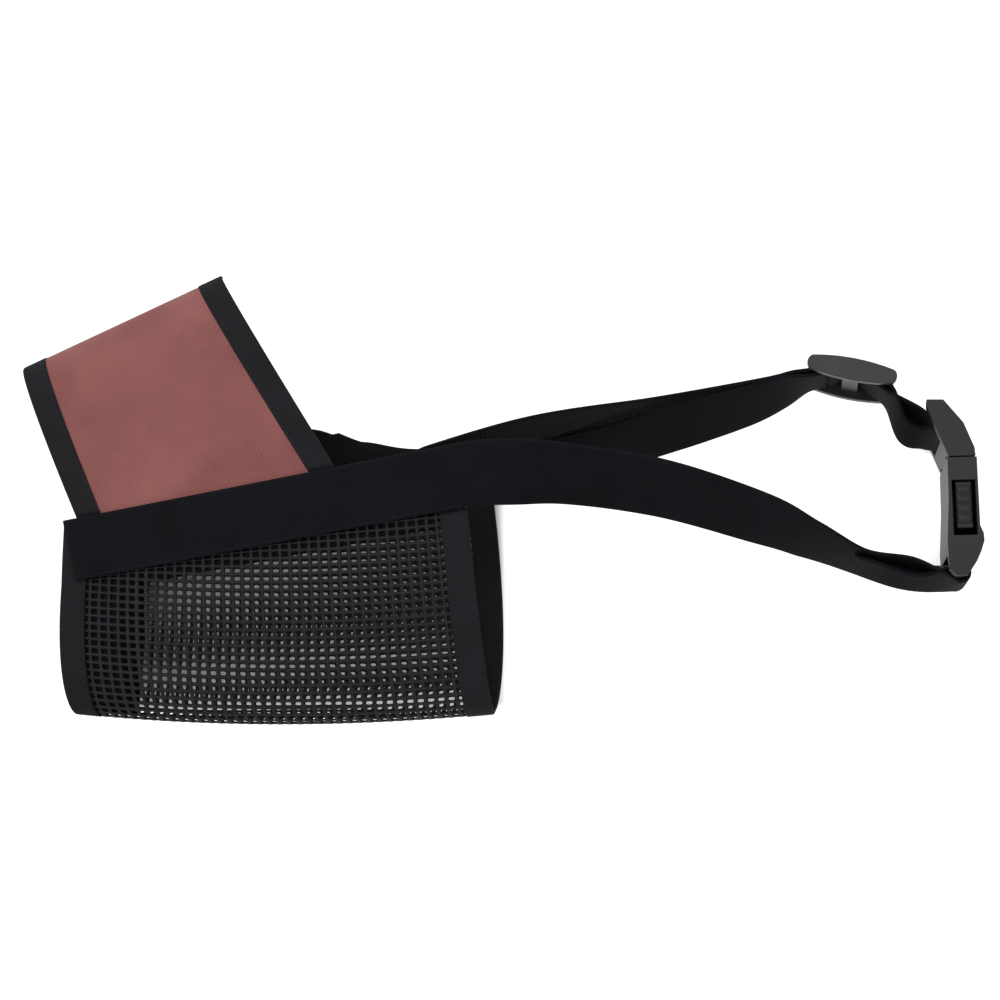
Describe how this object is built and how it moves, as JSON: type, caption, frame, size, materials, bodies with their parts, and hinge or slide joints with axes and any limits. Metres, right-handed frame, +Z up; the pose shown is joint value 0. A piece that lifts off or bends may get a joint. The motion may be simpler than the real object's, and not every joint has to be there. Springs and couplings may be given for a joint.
{
  "type": "dog muzzle",
  "caption": "Soft sewn dog muzzle: cloth nose panel, open mesh jaw basket, bound edges and webbing side bands, with a neck strap closed by a strap slider and a side-release buckle.",
  "frame": {"origin": "middle of the bounding box on the surface the muzzle lies on", "axes": "+X from the nose end toward the buckle, +Y from the jaw toward the nose bridge, +Z up from the muzzle's right side, on which it lies, to its left side"},
  "size_m": [0.3064, 0.1476, 0.0428],
  "materials": {
    "nose_cloth": "plain woven nylon",
    "binding_tape": "folded grosgrain tape",
    "mesh": "open coated mesh",
    "webbing": "ribbed nylon webbing",
    "facing": "plain cloth",
    "buckle_plastic": "moulded",
    "prong_plastic": "moulded",
    "slider_plastic": "moulded"
  },
  "bodies": {
    "basket": {"nose_panel": "nose_cloth", "nose_front_binding": "binding_tape", "nose_rear_binding": "binding_tape", "mesh_basket": "mesh", "mesh_front_binding": "binding_tape", "mesh_rear_binding": "binding_tape", "left_side_band": "webbing", "right_side_band": "webbing", "left_seam_facing": "facing", "right_seam_facing": "facing", "front_chin_facing": "facing", "left_strap_root": "webbing", "right_strap_root": "webbing"},
    "neck_loop": {"left_neck_strap": "webbing", "right_neck_strap": "webbing", "buckle_socket": "buckle_plastic"},
    "plug_end": {"adjuster_strap": "webbing", "buckle_plug": "buckle_plastic"},
    "upper_prong": {"upper_prong": "prong_plastic"},
    "lower_prong": {"lower_prong": "prong_plastic"},
    "strap_slider": {"strap_slider": "slider_plastic"}
  },
  "joints": [
    {"name": "neck_swing", "type": "hinge", "parent": "basket", "child": "neck_loop", "pos_m": [0.01505, 0.00408, 0.02], "axis": [0, 0, 1], "range_deg": [-25, 25], "deforming": ["left_strap_root", "right_strap_root"]},
    {"name": "buckle_release", "type": "slide", "parent": "neck_loop", "child": "plug_end", "axis": [0, 1, 0], "range_m": [0, 0.03], "deforming": ["right_neck_strap", "upper_prong", "lower_prong"]},
    {"name": "upper_prong_press", "type": "hinge", "parent": "plug_end", "child": "upper_prong", "pos_m": [0.14805, 0.00118, 0.0233], "axis": [1, 0, 0], "range_deg": [0, 8], "stiffness_Nm_per_rad": 0.5},
    {"name": "lower_prong_press", "type": "hinge", "parent": "plug_end", "child": "lower_prong", "pos_m": [0.14805, 0.00118, 0.0047], "axis": [1, 0, 0], "range_deg": [-8, 0], "stiffness_Nm_per_rad": 0.5},
    {"name": "slider_adjust", "type": "slide", "parent": "plug_end", "child": "strap_slider", "axis": [0.9711, -0.2385, 0], "range_m": [-0.006, 0.006], "deforming": ["adjuster_strap", "right_neck_strap"]}
  ],
  "couplings": [
    {"joint": "lower_prong_press", "follows": "upper_prong_press", "ratio": -1}
  ]
}
